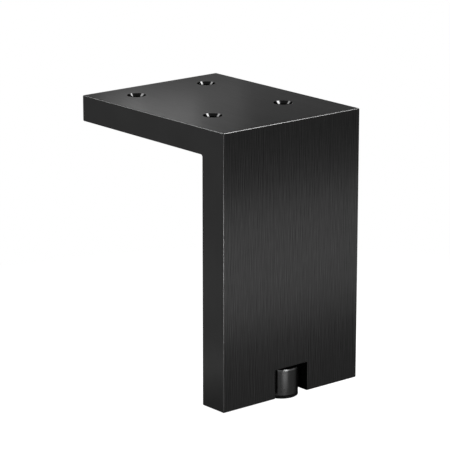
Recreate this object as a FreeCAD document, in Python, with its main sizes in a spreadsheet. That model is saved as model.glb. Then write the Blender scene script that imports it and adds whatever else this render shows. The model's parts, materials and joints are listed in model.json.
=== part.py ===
# Adjustable furniture leg: an L-shaped metal leg that is screwed under a cabinet or sofa by
# its top plate, with a screw-adjusted foot in a notch at the lower end of the upright plate.
#
# Millimetres, +Z up. The origin is the centre of the four-screw pattern on the top mounting
# face, X runs along the front and +Y points from the front face to the rear edge.
import FreeCAD, Part
import os

import Sketcher

# Driving dimensions: name, value, meaning
DIMENSIONS = (
    ("leg_width", 75, "width of both plates"),
    ("leg_depth", 96, "front face to the rear edge of the top plate"),
    ("leg_height", 120, "mounting face to the lower end of the upright plate"),
    ("top_thickness", 11.5, "thickness of the top plate"),
    ("wall_thickness", 14, "thickness of the upright plate"),
    ("inner_radius", 1, "fillet between the two plates"),
    ("edge_radius", 0.5, "rounding of the outer edges"),
    ("screw_spacing_x", 39, "screw holes, centre to centre across the leg"),
    ("screw_spacing_y", 52, "screw holes, centre to centre front to back"),
    ("screw_hole_diameter", 4.5, "clearance hole of a 4 mm countersunk screw"),
    ("countersink_diameter", 8.4, "mouth of each countersink"),
    ("thread_diameter", 8, "outer diameter of the adjuster thread"),
    ("thread_clearance", 0.05, "radial play of the stud in a threaded hole"),
    ("thread_mouth", 0.5, "chamfer at the mouth of a threaded hole"),
    ("tapped_spare", 2, "hole left above the stud when the foot is right up"),
    ("stud_length", 30, "headless screw that carries the foot"),
    ("stud_chamfer", 0.8, "chamfer at both ends of the stud"),
    ("key_size", 4, "hexagon socket across flats"),
    ("key_depth", 5, "hexagon socket depth"),
    ("foot_diameter", 15, "turned foot"),
    ("foot_socket_depth", 7.5, "stud held in the foot"),
    ("foot_web", 1.7, "solid metal between the two sockets of the foot"),
    ("foot_top_chamfer", 0.6, "steep chamfer at the upper rim of the foot, down its side"),
    ("foot_top_narrowing", 0.22, "what that chamfer takes off the foot's radius"),
    ("foot_bottom_chamfer", 0.25, "lower rim of the foot"),
    ("foot_side_gap", 1.5, "foot to each side of the notch"),
    ("foot_top_gap", 1.1, "foot to the ceiling of the notch"),
    ("foot_projection", 1.1, "glide below the end of the upright plate"),
    ("notch_radius", 0.6, "upper corners of the notch"),
    ("notch_edge_radius", 0.2, "rounding of the notch's edges"),
    ("glide_thickness", 1.1, "disc of the glide"),
    ("glide_edge_radius", 0.25, "rounding of the glide's floor edge"),
    ("glide_play", 0.1, "running clearance between glide and foot"),
    ("stem_diameter", 5, "stem that snaps the glide into the foot"),
    ("stem_length", 2.4, "stem above the disc"),
    ("stem_end_gap", 0.2, "stem end to the socket floor"),
    ("bead_height", 0.3, "snap bead beyond the stem"),
    ("lip_height", 0.9, "retaining lip at the mouth of the glide socket"),
)

COUNTERSINK_ANGLE = 90
DRILL_POINT_ANGLE = 118

# Worked-out sizes, as expressions on the sheet
FRONT = "-(sizes.leg_depth + sizes.wall_thickness) / 2"
INNER = "-(sizes.leg_depth - sizes.wall_thickness) / 2"
REAR = "(sizes.leg_depth - sizes.wall_thickness) / 2"
FOOT_AXIS_Y = "-sizes.leg_depth / 2"
LOWER_END = "-sizes.leg_height"
GLIDE_SOCKET = "(sizes.stem_length + sizes.stem_end_gap - sizes.glide_play)"
FOOT_LENGTH = f"(sizes.foot_socket_depth + sizes.foot_web + {GLIDE_SOCKET})"
GLIDE_BASE = "(-sizes.leg_height - sizes.foot_projection)"
FOOT_BASE = f"({GLIDE_BASE} + sizes.glide_thickness + sizes.glide_play)"
STUD_BASE = f"({FOOT_BASE} + {GLIDE_SOCKET} + sizes.foot_web)"
NOTCH_CEILING = f"({FOOT_BASE} + {FOOT_LENGTH} + sizes.foot_top_gap)"
NOTCH_WIDTH = "(sizes.foot_diameter + 2 * sizes.foot_side_gap)"
THREADED_HOLE = "(sizes.thread_diameter + 2 * sizes.thread_clearance)"
THREADED_MOUTH = f"({THREADED_HOLE} + 2 * sizes.thread_mouth)"
TAPPED_DEPTH = "(sizes.stud_length - sizes.foot_socket_depth + sizes.tapped_spare)"

doc = FreeCAD.newDocument("furniture_leg")


def make_sheet():
    """Put the driving dimensions into the document's spreadsheet, one alias each."""
    sheet = doc.addObject("Spreadsheet::Sheet", "sizes")
    for row, (name, value, meaning) in enumerate(DIMENSIONS, start=1):
        sheet.set(f"A{row}", name)
        sheet.set(f"B{row}", str(value))
        sheet.set(f"C{row}", meaning)
        sheet.setAlias(f"B{row}", name)
    doc.recompute()
    return sheet


sizes = make_sheet()


def value(expression):
    """Number that an expression on the sheet gives now."""
    return float(sizes.evalExpression(expression))


def new_body(name, y="0", z="0"):
    """Body of one piece, placed on the foot axis or at the origin by expressions."""
    body = doc.addObject("PartDesign::Body", name)
    body.Label = name
    body.setExpression("Placement.Base.y", y)
    body.setExpression("Placement.Base.z", z)
    return body


def new_sketch(body, name, role, offset=None):
    """Sketch on one of the body's own planes, raised along its normal by an expression."""
    sketch = body.newObject("Sketcher::SketchObject", name)
    plane = next(item for item in body.Origin.OriginFeatures if item.Role == role)
    sketch.AttachmentSupport = [(plane, "")]
    sketch.MapMode = "FlatFace"
    if offset:
        sketch.setExpression("AttachmentOffset.Base.z", offset)
    return sketch


def place_point(sketch, geometry, end, x, y):
    """Tie one point of a sketch to the two expressions of its coordinates."""
    for kind, axis, expression in (("DistanceX", -2, x), ("DistanceY", -1, y)):
        if expression == "0":
            sketch.addConstraint(Sketcher.Constraint("PointOnObject", geometry, end, axis))
            continue
        index = sketch.addConstraint(
            Sketcher.Constraint(kind, -1, 1, geometry, end, value(expression)))
        sketch.setExpression(f"Constraints[{index}]", expression)


def outline(sketch, points):
    """Closed outline of straight lines through points given as pairs of expressions."""
    corners = [FreeCAD.Vector(value(x), value(y), 0) for x, y in points]
    count = len(corners)
    for index in range(count):
        sketch.addGeometry(Part.LineSegment(corners[index], corners[(index + 1) % count]))
    for index, (x, y) in enumerate(points):
        previous = (index - 1) % count
        sketch.addConstraint(Sketcher.Constraint("Coincident", previous, 2, index, 1))
        place_point(sketch, index, 1, x, y)


def circles(sketch, centres, diameter):
    """Circles of one diameter about centres given as pairs of expressions."""
    for x, y in centres:
        centre = FreeCAD.Vector(value(x), value(y), 0)
        axis = FreeCAD.Vector(0, 0, 1)
        index = sketch.addGeometry(Part.Circle(centre, axis, value(diameter) / 2))
        place_point(sketch, index, 3, x, y)
        size = sketch.addConstraint(Sketcher.Constraint("Diameter", index, value(diameter)))
        sketch.setExpression(f"Constraints[{size}]", diameter)


def revolve(body, name, points):
    """Turned shape: an outline of radius and height pairs about the body's Z axis."""
    sketch = new_sketch(body, name + "_section", "XZ_Plane")
    outline(sketch, points)
    feature = body.newObject("PartDesign::Revolution", name)
    feature.Profile = sketch
    feature.ReferenceAxis = (sketch, ["V_Axis"])
    feature.Angle = 360
    doc.recompute()
    return feature


def drill(body, name, centres, start, diameter, mouth, depth=None, upward=False):
    """Round holes with a conical mouth, cut from a level plane; no depth cuts right through."""
    sketch = new_sketch(body, name + "_centres", "XY_Plane", start)
    circles(sketch, centres, diameter)
    doc.recompute()
    before = body.Shape.Volume
    hole = body.newObject("PartDesign::Hole", name)
    hole.Profile = sketch
    hole.Reversed = upward
    doc.recompute()
    hole.setExpression("Diameter", diameter)
    hole.HoleCutType = "Countersink"
    hole.HoleCutCustomValues = True
    hole.setExpression("HoleCutDiameter", mouth)
    hole.HoleCutCountersinkAngle = COUNTERSINK_ANGLE
    if depth:
        hole.DepthType = "Dimension"
        hole.setExpression("Depth", depth)
        hole.DrillPoint = "Angled"
        hole.DrillPointAngle = DRILL_POINT_ANGLE
    else:
        hole.DepthType = "ThroughAll"
    doc.recompute()
    must_shrink(name, before, body.Shape.Volume)
    return hole


def must_shrink(name, before, after):
    """Stop when a cut has removed nothing."""
    if not after < before - 1e-6:
        raise RuntimeError(f"{name} cuts nothing")


def dress(body, kind, name, edges, **expressions):
    """Fillet or chamfer on edges of the body's last feature, sized by expressions."""
    base = body.Tip
    feature = body.newObject("PartDesign::" + kind, name)
    feature.Base = (base, edges)
    for key, expression in expressions.items():
        feature.setExpression(key, expression)
    doc.recompute()
    return feature


def edges_where(shape, test):
    """Names of the edges that pass a test."""
    return [f"Edge{index}" for index, edge in enumerate(shape.Edges, start=1) if test(edge)]


def lies_at(edge, **levels):
    """True when every vertex of an edge lies on the given coordinate levels."""
    return all(
        abs(getattr(vertex, axis.upper()) - level) < 1e-4
        for vertex in edge.Vertexes for axis, level in levels.items())


def is_sharp(shape, edge):
    """True for an edge where two faces meet at an angle, and none of them is a hole's."""
    faces = shape.ancestorsOfType(edge, Part.Face)
    if len(faces) != 2 or any(is_round_hole(face) for face in faces):
        return False
    middle = edge.valueAt((edge.FirstParameter + edge.LastParameter) / 2)
    normals = [face.normalAt(*face.Surface.parameter(middle)) for face in faces]
    return normals[0].getAngle(normals[1]) > 0.3


def round_edges(body, name, radius):
    """Fillet on every edge that is still sharp, holes apart."""
    edges = edges_where(body.Shape, lambda edge: is_sharp(body.Shape, edge))
    dress(body, "Fillet", name, edges, Radius=radius)


def is_round_hole(face):
    """True for the wall, mouth or point of a drilled hole."""
    surface = face.Surface
    if surface.TypeId == "Part::GeomCone":
        return True
    return surface.TypeId == "Part::GeomCylinder" and abs(surface.Axis.z) > 0.9


def make_leg_body():
    """One-piece L: extruded section, notch for the foot, tapped hole and screw holes."""
    body = new_body("leg_body")
    section = new_sketch(body, "leg_section", "YZ_Plane")
    outline(section, (
        (FRONT, LOWER_END), (INNER, LOWER_END), (INNER, "-sizes.top_thickness"),
        (REAR, "-sizes.top_thickness"), (REAR, "0"), (FRONT, "0")))
    pad = body.newObject("PartDesign::Pad", "leg_extrusion")
    pad.Profile = section
    pad.SideType = "Symmetric"
    pad.setExpression("Length", "sizes.leg_width")
    doc.recompute()

    inner, below = value(INNER), -value("sizes.top_thickness")
    corner = edges_where(pad.Shape, lambda edge: lies_at(edge, y=inner, z=below))
    dress(body, "Fillet", "inner_fillet", corner, Radius="sizes.inner_radius")
    round_edges(body, "outer_rounding", "sizes.edge_radius")

    before = body.Shape.Volume
    notch = new_sketch(body, "notch_outline", "XZ_Plane")
    half = NOTCH_WIDTH + " / 2"
    outline(notch, (
        ("-" + half, LOWER_END), (half, LOWER_END), (half, NOTCH_CEILING), ("-" + half, NOTCH_CEILING)))
    cut = body.newObject("PartDesign::Pocket", "foot_notch")
    cut.Profile = notch
    cut.Type = "ThroughAll"
    cut.SideType = "Symmetric"
    doc.recompute()
    must_shrink("foot_notch", before, body.Shape.Volume)

    side, ceiling = value(half), value(NOTCH_CEILING)
    corners = edges_where(
        cut.Shape, lambda edge: any(lies_at(edge, x=x, z=ceiling) for x in (-side, side)))
    dress(body, "Fillet", "notch_fillet", corners, Radius="sizes.notch_radius")
    round_edges(body, "notch_rounding", "sizes.notch_edge_radius")

    drill(body, "tapped_hole", (("0", FOOT_AXIS_Y),), NOTCH_CEILING,
          THREADED_HOLE, THREADED_MOUTH, depth=TAPPED_DEPTH, upward=True)
    across, along = "sizes.screw_spacing_x / 2", "sizes.screw_spacing_y / 2"
    centres = [(x + across, y + along) for x in ("", "-") for y in ("", "-")]
    for name, start, upward in (("screw_holes", "0", False),
                                ("underside_countersinks", "-sizes.top_thickness", True)):
        drill(body, name, centres, start, "sizes.screw_hole_diameter",
              "sizes.countersink_diameter", upward=upward)
    return body


def make_adjuster_foot():
    """Turned foot: stud socket from above, snap socket for the glide from below."""
    body = new_body("adjuster_foot", FOOT_AXIS_Y, FOOT_BASE)
    rim = "sizes.foot_diameter / 2"
    socket = THREADED_HOLE + " / 2"
    lip = "(sizes.stem_diameter / 2 + sizes.glide_play)"
    undercut = f"({lip} + sizes.bead_height)"
    revolve(body, "foot_turning", (
        (lip, "0"),
        (rim + " - sizes.foot_bottom_chamfer", "0"),
        (rim, "sizes.foot_bottom_chamfer"),
        (rim, FOOT_LENGTH + " - sizes.foot_top_chamfer"),
        (rim + " - sizes.foot_top_narrowing", FOOT_LENGTH),
        (socket + " + sizes.thread_mouth", FOOT_LENGTH),
        (socket, FOOT_LENGTH + " - sizes.thread_mouth"),
        (socket, FOOT_LENGTH + " - sizes.foot_socket_depth"),
        ("0", FOOT_LENGTH + " - sizes.foot_socket_depth"),
        ("0", GLIDE_SOCKET),
        (undercut, GLIDE_SOCKET),
        (undercut, "sizes.lip_height"),
        (lip, "sizes.lip_height")))
    return body


def make_threaded_stud():
    """Headless M8 screw, its thread left plain, with a hexagon socket in the upper end."""
    body = new_body("threaded_stud", FOOT_AXIS_Y, STUD_BASE)
    round_section = new_sketch(body, "stud_section", "XY_Plane")
    circles(round_section, (("0", "0"),), "sizes.thread_diameter")
    pad = body.newObject("PartDesign::Pad", "stud_bar")
    pad.Profile = round_section
    pad.setExpression("Length", "sizes.stud_length")
    doc.recompute()
    ends = edges_where(pad.Shape, lambda edge: edge.Curve.TypeId == "Part::GeomCircle")
    dress(body, "Chamfer", "stud_ends", ends, Size="sizes.stud_chamfer")

    before = body.Shape.Volume
    hexagon = new_sketch(body, "key_outline", "XY_Plane", "sizes.stud_length")
    corner = "sizes.key_size / sqrt(3)"
    outline(hexagon, [
        (f"{corner} * cos({60 * turn + 30})" if turn % 3 != 1 else "0",
         f"{corner} * sin({60 * turn + 30})") for turn in range(6)])
    socket = body.newObject("PartDesign::Pocket", "key_socket")
    socket.Profile = hexagon
    socket.setExpression("Length", "sizes.key_depth")
    doc.recompute()
    must_shrink("key_socket", before, body.Shape.Volume)
    return body


def make_foot_glide():
    """Moulded floor disc whose stem and bead snap into the foot and let it turn."""
    body = new_body("foot_glide", FOOT_AXIS_Y, GLIDE_BASE)
    rim = "sizes.foot_diameter / 2"
    stem = "sizes.stem_diameter / 2"
    neck = "(sizes.glide_thickness + sizes.glide_play + sizes.lip_height + sizes.glide_play)"
    top = "(sizes.glide_thickness + sizes.stem_length)"
    revolve(body, "glide_moulding", (
        ("0", "0"), (rim, "0"), (rim, "sizes.glide_thickness"), (stem, "sizes.glide_thickness"),
        (stem, neck), (stem + " + sizes.bead_height", neck + " + sizes.bead_height"),
        (stem, top), ("0", top)))
    floor_edge = edges_where(
        body.Shape, lambda edge: edge.Curve.TypeId == "Part::GeomCircle" and lies_at(
            edge, z=value(GLIDE_BASE)))
    dress(body, "Fillet", "glide_rounding", floor_edge, Radius="sizes.glide_edge_radius")
    return body


def check_document(pieces):
    """Stop on any failed object or bad shape before a file is written."""
    for item in doc.Objects:
        if {"Invalid", "Error"} & set(item.State):
            raise RuntimeError(f"{item.Name}: {item.State}")
    for piece in pieces:
        shape = piece.Shape
        if shape.isNull() or not shape.isValid() or len(shape.Solids) != 1:
            raise RuntimeError(f"{piece.Label}: shape is not one valid solid")


parts = [make_leg_body(), make_adjuster_foot(), make_threaded_stud(), make_foot_glide()]
doc.recompute()
check_document(parts)
os.makedirs("parts", exist_ok=True)
for part in parts:
    part.Shape.exportStep(f"parts/{part.Label}.step")
    box = part.Shape.BoundBox
    print(f"{part.Label}: {part.Shape.Volume:.1f} mm3, x {box.XMin:.2f} to {box.XMax:.2f}, "
          f"y {box.YMin:.2f} to {box.YMax:.2f}, z {box.ZMin:.2f} to {box.ZMax:.2f}")
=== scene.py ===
import json
import math

import bmesh
import bpy
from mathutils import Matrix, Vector


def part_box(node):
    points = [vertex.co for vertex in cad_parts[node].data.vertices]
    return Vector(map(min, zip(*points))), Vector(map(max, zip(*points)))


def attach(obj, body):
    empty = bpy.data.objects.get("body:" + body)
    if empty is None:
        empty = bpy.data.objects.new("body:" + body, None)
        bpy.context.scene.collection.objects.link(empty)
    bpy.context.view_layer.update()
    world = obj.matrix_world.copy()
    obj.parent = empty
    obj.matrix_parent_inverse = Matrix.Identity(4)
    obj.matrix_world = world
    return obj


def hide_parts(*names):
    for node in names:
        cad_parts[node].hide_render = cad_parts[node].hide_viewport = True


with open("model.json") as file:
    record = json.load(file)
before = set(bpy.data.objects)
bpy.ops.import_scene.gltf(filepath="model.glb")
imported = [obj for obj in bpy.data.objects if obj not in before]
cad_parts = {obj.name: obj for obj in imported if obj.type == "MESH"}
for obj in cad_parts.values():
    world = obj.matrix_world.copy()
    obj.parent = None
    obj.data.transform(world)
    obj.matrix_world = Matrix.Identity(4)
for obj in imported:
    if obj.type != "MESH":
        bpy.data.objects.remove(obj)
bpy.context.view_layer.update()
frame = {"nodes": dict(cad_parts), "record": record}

# Leg body
# One solid L of aluminium, anodised black. Its broad faces are brushed in one go, up the front
# and back over the top, and the cut sides are fine and matt. The countersinks are bare and shiny
# near the rim, and painted shade darkens them towards the bore. The notch's walls and ceiling
# carry painted shade, and the rounded edges a painted highlight.
millimetre = 0.001
foot_low, foot_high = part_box("adjuster_foot")
foot_centre = (foot_low + foot_high) / 2
screw_mount = next(mount for mount in frame["record"]["mounts"] if mount["name"] == "screw_pattern")
screw_half_x = screw_mount["dims"]["spacing_x_mm"] / 2 * millimetre
screw_half_y = screw_mount["dims"]["spacing_y_mm"] / 2 * millimetre
countersink_radius = 4.3 * millimetre
# Inside this radius the countersinks darken towards the bore: painted shade.
painted_shade_radius = 3.3 * millimetre
notch_reach_x = 9.4 * millimetre
notch_reach_z = foot_high.z + 1.3 * millimetre
leg_colour = 0.013
# Lighter colour on the rounded edges: a painted highlight.
painted_edge_highlight = 0.008
# Darker colour inside the notch: painted shade in the recess.
notch_painted_shade_colour = 0.004
edge_roughness = 0.34
hole_roughness = 0.14
grazing_tint = (0.39, 0.39, 0.39, 1)
line_width = 0.40 * millimetre
long_line = 70 * millimetre
short_line = 9 * millimetre


def new_finish(name):
    """Material with a Principled shader, its node tree and that shader."""
    finish = bpy.data.materials.new(name)
    finish.use_nodes = True
    return finish, finish.node_tree, finish.node_tree.nodes["Principled BSDF"]


def dark_metal(name):
    """Material of blackened metal, duller than bare metal where it is seen at a grazing angle."""
    finish, tree, shader = new_finish(name)
    shader.inputs["Metallic"].default_value = 1.0
    shader.inputs["Specular Tint"].default_value = grazing_tint
    return finish, tree, shader


def add_node(tree, kind, inputs=(), **settings):
    """Add a node, set its properties, then link or set its inputs in order, None left out."""
    node = tree.nodes.new("ShaderNode" + kind)
    for key, setting in settings.items():
        setattr(node, key, setting)
    for number, source in enumerate(inputs):
        if isinstance(source, bpy.types.NodeSocket):
            tree.links.new(source, node.inputs[number])
        elif source is not None:
            node.inputs[number].default_value = source
    return node


def calculate(tree, operation, *inputs):
    """Result of one math node."""
    return add_node(tree, "Math", inputs, operation=operation).outputs[0]


def ramp(tree, value, low, high, at_low, at_high):
    """Straight change from at_low to at_high between two values, held beyond them."""
    return add_node(tree, "MapRange", (value, low, high, at_low, at_high), clamp=True).outputs[0]


def from_noise(tree, noise, at_low, at_high):
    """Value that follows a noise, which seldom leaves the range 0.3 to 0.7."""
    return ramp(tree, noise, 0.3, 0.7, at_low, at_high)


def blend(tree, share, first, second):
    """First where the share is 0 and second where it is 1."""
    return add_node(tree, "Mix", (share, None, first, second), data_type="FLOAT").outputs[0]


def grey(tree, value):
    """Neutral colour from one value."""
    return add_node(tree, "CombineColor", (value, value, value)).outputs[0]


def stretched_noise(tree, place, width, length_y, length_z, detail=0.0, shift=0.0):
    """Noise whose features measure width along X, length_y along Y and length_z along Z."""
    scale = (1 / width, 1 / length_y, 1 / length_z)
    mapped = add_node(tree, "Mapping", (place, (shift / width, 0, 0), None, scale)).outputs[0]
    return add_node(tree, "TexNoise", (mapped, None, 1.0, detail, 0.6)).outputs[0]


def brushed_lines(tree, place, length):
    """Fine lines of the brush, light above zero and dark below it, with no broad bands."""
    noises = [stretched_noise(tree, place, line_width, length, length, shift=shift)
              for shift in (0, line_width)]
    return calculate(tree, "SUBTRACT", *noises)


def add_relief(tree, shader, height, strength, depth):
    """Fine relief that follows a height, felt by the light alone."""
    bump = add_node(tree, "Bump", (strength, depth))
    tree.links.new(height, bump.inputs["Height"])
    tree.links.new(bump.outputs[0], shader.inputs["Normal"])


def give_finish(node_name, finish):
    """Put a material on a CAD piece in place of its plain one."""
    slots = frame["nodes"][node_name].data.materials
    slots.clear()
    slots.append(finish)


leg_metal, tree, shader = dark_metal("leg_metal")
surface = add_node(tree, "TexCoord")
place = surface.outputs["Object"]
x, y, z = add_node(tree, "SeparateXYZ", (place,)).outputs
facing_x, facing_y, facing_z = (
    calculate(tree, "ABSOLUTE", part)
    for part in add_node(tree, "SeparateXYZ", (surface.outputs["Normal"],)).outputs)

long_lines = brushed_lines(tree, place, long_line)
short_lines = brushed_lines(tree, place, short_line)
streaks = blend(tree, 0.65, long_lines, short_lines)
top_lines = stretched_noise(tree, place, 1.3 * millimetre, long_line, long_line, 2.0)
patches = stretched_noise(tree, place, 4 * millimetre, 7 * millimetre, 7 * millimetre, 2.0)
mottle = add_node(tree, "TexNoise", (place, None, 45.0, 2.0, 0.5)).outputs[0]
grain = add_node(tree, "TexNoise", (place, None, 2500.0, 2.0, 0.5)).outputs[0]

side_face = ramp(tree, facing_x, 0.6, 0.9, 0.0, 1.0)
squareness = calculate(tree, "MAXIMUM", facing_x, calculate(tree, "MAXIMUM", facing_y, facing_z))
edge = ramp(tree, squareness, 0.90, 0.99, 1.0, 0.0)

from_hole_x = calculate(tree, "SUBTRACT", calculate(tree, "ABSOLUTE", x), screw_half_x)
from_hole_y = calculate(tree, "SUBTRACT", calculate(tree, "ABSOLUTE", y), screw_half_y)
from_hole = calculate(tree, "SQRT", calculate(
    tree, "MULTIPLY_ADD", from_hole_x, from_hole_x,
    calculate(tree, "MULTIPLY", from_hole_y, from_hole_y)))
screw_hole = calculate(tree, "LESS_THAN", from_hole, countersink_radius)
# Where the notch's walls and ceiling get painted shade, reaching a little past its edges.
notch_painted_shade_mask = calculate(
    tree, "MULTIPLY",
    calculate(tree, "LESS_THAN", calculate(tree, "ABSOLUTE", x), notch_reach_x),
    calculate(tree, "MULTIPLY", calculate(tree, "LESS_THAN", z, notch_reach_z),
              ramp(tree, facing_y, 0.85, 0.98, 1.0, 0.0)))

top_face = ramp(tree, facing_z, 0.9, 0.99, 0.0, 1.0)
line_shade = blend(tree, top_face, ramp(tree, streaks, -0.4, 0.4, 0.52, 1.48),
                   from_noise(tree, top_lines, 0.86, 1.14))
brushed_shade = calculate(tree, "MULTIPLY", line_shade, from_noise(tree, patches, 0.95, 1.05))
matt_shade = from_noise(tree, mottle, 0.95, 1.05)
shade = blend(tree, edge, blend(tree, side_face, brushed_shade, matt_shade), 1.0)
# The rounded edges get a lighter colour, a painted highlight.
tone = calculate(tree, "MULTIPLY", shade,
                 calculate(tree, "MULTIPLY_ADD", edge, painted_edge_highlight, leg_colour))
# Inside the notch the colour is painted shade.
tone = blend(tree, notch_painted_shade_mask, tone, notch_painted_shade_colour)
# Deep in the countersinks the colour darkens towards the bore: painted shade.
hole_tone_painted_shade = ramp(tree, from_hole, painted_shade_radius - 0.3 * millimetre, painted_shade_radius, 0.0005, 0.008)
tone = blend(tree, screw_hole, tone, hole_tone_painted_shade)
tree.links.new(grey(tree, tone), shader.inputs["Base Color"])

brushed_roughness = ramp(tree, streaks, -0.3, 0.3, 0.29, 0.35)
side_roughness = from_noise(tree, grain, 0.40, 0.46)
roughness = blend(tree, edge, blend(tree, side_face, brushed_roughness, side_roughness), edge_roughness)
tree.links.new(blend(tree, screw_hole, roughness, hole_roughness), shader.inputs["Roughness"])
grooves = calculate(tree, "MULTIPLY", streaks, calculate(
    tree, "SUBTRACT", 1.0, calculate(tree, "MAXIMUM", side_face, edge)))
add_relief(tree, shader, grooves, 0.25, 0.02 * millimetre)
give_finish("leg_body", leg_metal)

# Adjuster foot
# Turned from steel bar and blackened. The tool leaves fine rings round it, and its upper rim is
# chamfered. It is screwed onto the stud and turns with it.
ring_height = 0.25 * millimetre
ring_width = 60 * millimetre

foot_metal, tree, shader = dark_metal("foot_metal")
place = add_node(tree, "TexCoord").outputs["Object"]
rings = stretched_noise(tree, place, ring_width, ring_width, ring_height)
smudges = add_node(tree, "TexNoise", (place, None, 160.0, 2.0, 0.5)).outputs[0]
tree.links.new(grey(tree, from_noise(tree, rings, 0.0165, 0.018)), shader.inputs["Base Color"])
tree.links.new(from_noise(tree, smudges, 0.26, 0.28), shader.inputs["Roughness"])
add_relief(tree, shader, rings, 0.05, 0.01 * millimetre)
give_finish("adjuster_foot", foot_metal)

# Threaded stud
# Headless M8 screw of steel with a rolled thread, black oxide. Its lower end is held in the
# foot, the rest turns in the leg's tapped hole, and a hexagon key fits its upper end.
stud_low, stud_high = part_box("threaded_stud")
stud_centre = (stud_low + stud_high) / 2
thread_play = 0.005 * millimetre
crest_radius = (stud_high.x - stud_low.x) / 2 - thread_play
thread_pitch = 1.25 * millimetre
thread_depth = 0.61 * thread_pitch
root_radius = crest_radius - thread_depth
stud_chamfer = 0.8 * millimetre
key_size = 4 * millimetre
key_depth = 5 * millimetre
steps_per_turn = 36
stud_turns = math.ceil((stud_high.z - stud_low.z) / thread_pitch) + 2
weld_distance = 0.001 * millimetre

# One turn of the thread is six points, each a radius and a height in pitches.
stud_shape = bmesh.new()
profile = [
    stud_shape.verts.new((stud_centre.x + radius, stud_centre.y, stud_low.z + (height - 1) * thread_pitch))
    for radius, height in ((root_radius, 0.0), (root_radius, 0.12), (crest_radius, 0.44),
                           (crest_radius, 0.56), (root_radius, 0.88), (root_radius, 1.0))]
flanks = [stud_shape.edges.new(pair) for pair in zip(profile, profile[1:])]
bmesh.ops.spin(
    stud_shape, geom=profile + flanks, cent=(stud_centre.x, stud_centre.y, 0), axis=(0, 0, 1),
    dvec=(0, 0, thread_pitch / steps_per_turn), angle=2 * math.pi * stud_turns,
    steps=steps_per_turn * stud_turns)
bmesh.ops.remove_doubles(stud_shape, verts=stud_shape.verts, dist=weld_distance)
end_loops = {}
for end, outwards in ((stud_low, -1), (stud_high, 1)):
    cut = bmesh.ops.bisect_plane(
        stud_shape, geom=stud_shape.verts[:] + stud_shape.edges[:] + stud_shape.faces[:],
        plane_co=(0, 0, end.z), plane_no=(0, 0, outwards), clear_outer=True)
    end_loops[outwards] = [part for part in cut["geom_cut"] if isinstance(part, bmesh.types.BMEdge)]
for vertex in stud_shape.verts:
    arm = Vector((vertex.co.x - stud_centre.x, vertex.co.y - stud_centre.y))
    from_end = min(vertex.co.z - stud_low.z, stud_high.z - vertex.co.z)
    allowed = crest_radius - max(stud_chamfer - from_end, 0)
    if arm.length > allowed:
        arm *= allowed / arm.length
        vertex.co.x, vertex.co.y = stud_centre.x + arm.x, stud_centre.y + arm.y
bmesh.ops.edgeloop_fill(stud_shape, edges=end_loops[-1])
hexagon = bmesh.ops.create_circle(stud_shape, segments=6, radius=key_size / math.sqrt(3))["verts"]
bmesh.ops.translate(stud_shape, verts=hexagon, vec=(stud_centre.x, stud_centre.y, stud_high.z))
hexagon_edges = list({side for corner in hexagon for side in corner.link_edges})
bmesh.ops.bridge_loops(stud_shape, edges=end_loops[1] + hexagon_edges)
socket = bmesh.ops.extrude_edge_only(stud_shape, edges=hexagon_edges)["geom"]
socket_floor = [part for part in socket if isinstance(part, bmesh.types.BMVert)]
bmesh.ops.translate(stud_shape, verts=socket_floor, vec=(0, 0, -key_depth))
floor_edges = [part for part in socket if isinstance(part, bmesh.types.BMEdge)
               and all(corner in socket_floor for corner in part.verts)]
bmesh.ops.edgeloop_fill(stud_shape, edges=floor_edges)
bmesh.ops.recalc_face_normals(stud_shape, faces=stud_shape.faces)


def smooth_below(shape, degrees):
    """Shade a mesh smooth, with every edge sharper than the angle left crisp."""
    for face in shape.faces:
        face.smooth = True
    for side in shape.edges:
        side.smooth = side.calc_face_angle(0) < math.radians(degrees)


def finished_piece(name, shape, finish):
    """Object at the origin, made from a bmesh and given its material."""
    mesh = bpy.data.meshes.new(name)
    shape.to_mesh(mesh)
    shape.free()
    mesh.materials.append(finish)
    piece = bpy.data.objects.new(name, mesh)
    bpy.context.scene.collection.objects.link(piece)
    return piece


stud_steel, tree, shader = dark_metal("stud_steel")
place = add_node(tree, "TexCoord").outputs["Object"]
scale_marks = add_node(tree, "TexNoise", (place, None, 900.0, 3.0, 0.6)).outputs[0]
tree.links.new(grey(tree, from_noise(tree, scale_marks, 0.020, 0.036)), shader.inputs["Base Color"])
tree.links.new(from_noise(tree, scale_marks, 0.42, 0.30), shader.inputs["Roughness"])

smooth_below(stud_shape, 25)
m8_stud = finished_piece("m8_stud", stud_shape, stud_steel)
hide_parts("threaded_stud")
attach(m8_stud, "foot")

# Foot glide
# Disc of black plastic under the foot, moulded with a stem that snaps into it. Its skin is dull
# with a faint spark texture, and it stays still on the floor while the foot turns.
glide_plastic, tree, shader = new_finish("glide_plastic")
place = add_node(tree, "TexCoord").outputs["Object"]
spark_texture = add_node(tree, "TexNoise", (place, None, 3500.0, 2.0, 0.5)).outputs[0]
tree.links.new(grey(tree, from_noise(tree, spark_texture, 0.001, 0.002)), shader.inputs["Base Color"])
tree.links.new(from_noise(tree, spark_texture, 0.50, 0.62), shader.inputs["Roughness"])
shader.inputs["Specular IOR Level"].default_value = 0.0
add_relief(tree, shader, spark_texture, 0.3, 0.02 * millimetre)
give_finish("foot_glide", glide_plastic)

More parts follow.
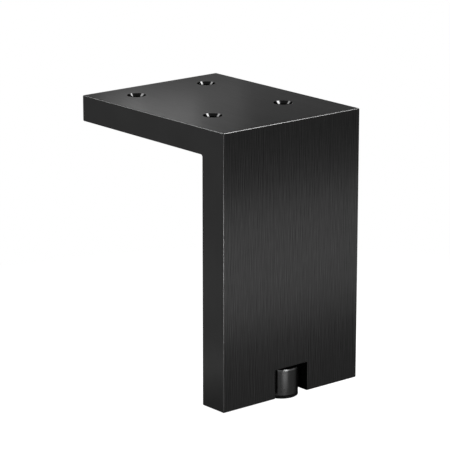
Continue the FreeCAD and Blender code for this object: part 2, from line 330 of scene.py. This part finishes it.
# Table
# White table top, as low as the foot reaches when it is screwed out. The camera and the metal see
# it white, with a faint shadow under the leg, and it runs into the white room at its rim.
table_radius = 0.30
table_play = 0.1 * millimetre
foot_travel = next(
    joint for joint in frame["record"]["behaviour"]["joints"] if joint["name"] == "foot_travel")
table_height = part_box("foot_glide")[0].z - foot_travel["range_m"][1] - table_play
table_shape = bmesh.new()
bmesh.ops.create_circle(table_shape, cap_ends=True, segments=96, radius=table_radius)
bmesh.ops.translate(table_shape, verts=table_shape.verts, vec=(0, foot_centre.y, table_height))
table_white, tree, shader = new_finish("table_white")
shader.inputs["Base Color"].default_value = (0.85, 0.85, 0.85, 1)
shader.inputs["Roughness"].default_value = 0.9
place = add_node(tree, "TexCoord").outputs["Object"]
from_foot = add_node(tree, "VectorMath", (place, (0, foot_centre.y, table_height)),
                     operation="DISTANCE").outputs["Value"]
ray = add_node(tree, "LightPath").outputs
in_sight = calculate(tree, "MAXIMUM", ray["Is Camera Ray"],
                     calculate(tree, "MAXIMUM", ray["Is Glossy Ray"], ray["Is Transmission Ray"]))
whiteness = calculate(tree, "MULTIPLY", in_sight,
                      ramp(tree, from_foot, 0.3 * table_radius, 0.9 * table_radius, 0.96, 1.0))
glow = add_node(tree, "Emission")
table_surface = add_node(tree, "MixShader", (whiteness, shader.outputs[0], glow.outputs[0])).outputs[0]
tree.links.new(table_surface, tree.nodes["Material Output"].inputs["Surface"])
table_top = finished_piece("table_top", table_shape, table_white)

# Room and lamps
# A white room on all sides, which the black metal mirrors. Two softboxes high up give the bright
# edges and the glints in the screw holes, and small cards and strips near the leg shade its faces.
room = bpy.data.worlds.new("room")
bpy.context.scene.world = room
room.use_nodes = True
background = room.node_tree.nodes["Background"]
background.inputs["Color"].default_value = (1, 1, 1, 1)
background.inputs["Strength"].default_value = 1.0

lamps = (
    # name, place, point it faces, width, height, power and beam in degrees
    ("right_softbox", (0.384, -0.263, 0.592), (0, -0.007, -0.06), 0.26, 0.26, 27.0, 180),
    ("back_softbox", (-0.275, 0.482, 0.508), (0, -0.007, -0.06), 0.30, 0.30, 13.0, 180),
    ("top_lamp", (0.070, 0.130, 0.179), (0, 0, 0), 0.04, 0.04, 1.50, 180),
    ("top_card", (0.0717, 0.1163, 0.0521), (-0.052, -0.032, 0), 0.07, 0.06, 0.0188, 180),
    ("corner_card", (0.048, 0.0946, 0.0417), (-0.051, -0.024, 0), 0.035, 0.03, 0.0173, 180),
    ("rear_corner_card", (0.0232, 0.0930, 0.0313), (-0.051, 0.004, 0), 0.02, 0.02, 0.0042, 180),
    ("front_strip", (0.060, -0.139, -0.0878), (0.060, -0.039, -0.0728), 0.20, 0.058, 0.118, 180),
    ("left_card", (-0.292, 0.286, -0.091), (-0.0375, -0.02, -0.05), 0.30, 0.20, 0.53, 180),
    ("low_left_card", (-0.112, 0.041, -0.105), (-0.0375, -0.048, -0.105), 0.08, 0.03, 0.024, 180),
    ("lowest_left_card", (-0.072, -0.016, -0.1155), (-0.0375, -0.048, -0.115), 0.05, 0.01, 0.006, 180),
    ("edge_card", (-0.149, -0.148, -0.090), (-0.0375, -0.055, -0.055), 0.03, 0.05, 0.433, 180),
    ("foot_strip", (-0.0154, -0.1083, -0.1270), (-0.0035, -0.0546, -0.114), 0.042, 0.008, 0.0016, 60),
    ("foot_rim_card", (-0.014, -0.244, -0.021), (0, -0.055, -0.109), 0.126, 0.042, 0.055, 36),
)
for name, spot, facing, width, height, power, beam in lamps:
    lamp = bpy.data.lights.new(name, "AREA")
    lamp.shape = "RECTANGLE"
    lamp.size = width
    lamp.size_y = height
    lamp.energy = power
    lamp.spread = math.radians(beam)
    holder = bpy.data.objects.new(name, lamp)
    bpy.context.scene.collection.objects.link(holder)
    holder.location = spot
    holder.rotation_euler = (Vector(spot) - Vector(facing)).to_track_quat("Z", "Y").to_euler()
    holder.visible_camera = False

# Camera
# A long lens a little above the leg, turned to its left front corner as in the photograph.
view_azimuth = math.radians(-39.646)
view_elevation = math.radians(15.155)
view_distance = 1.0907
aim = Vector((0.00155, -0.00878, -0.05475))
camera = bpy.data.cameras.new("camera")
camera.lens = 200.9
camera.sensor_width = 36
camera_stand = bpy.data.objects.new("camera", camera)
bpy.context.scene.collection.objects.link(camera_stand)
backwards = Vector((math.sin(view_azimuth) * math.cos(view_elevation),
                    -math.cos(view_azimuth) * math.cos(view_elevation),
                    math.sin(view_elevation)))
camera_stand.location = aim + backwards * view_distance
camera_stand.rotation_euler = backwards.to_track_quat("Z", "Y").to_euler()
bpy.context.scene.camera = camera_stand
bpy.context.scene.view_settings.view_transform = "Standard"
